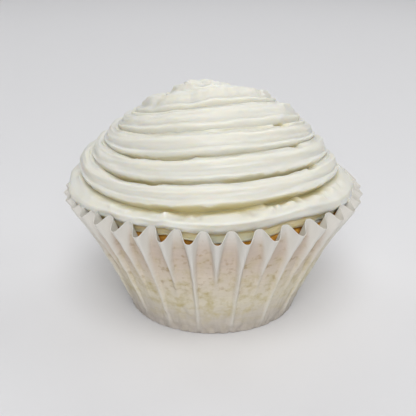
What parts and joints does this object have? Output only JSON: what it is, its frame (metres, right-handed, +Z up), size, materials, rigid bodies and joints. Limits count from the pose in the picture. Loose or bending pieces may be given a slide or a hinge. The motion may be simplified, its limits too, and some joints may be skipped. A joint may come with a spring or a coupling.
{
  "type": "cupcake",
  "caption": "Small round sponge cake in a pleated paper case, topped with a spiral mound of white icing.",
  "frame": {"origin": "middle of the case's flat foot, on the surface that the cupcake stands on", "axes": "+Z up along the cake's axis; -Y is the front; +X to the right seen from the front"},
  "size_m": [0.08, 0.0799, 0.0632],
  "materials": {
    "paper_case": "matt greaseproof paper, darkened where the cake shows through",
    "sponge": "baked crust, golden brown",
    "icing": "ivory white buttercream, soft sheen"
  },
  "bodies": {
    "root": {"paper_case": "paper_case", "sponge": "sponge", "icing": "icing"}
  },
  "joints": []
}
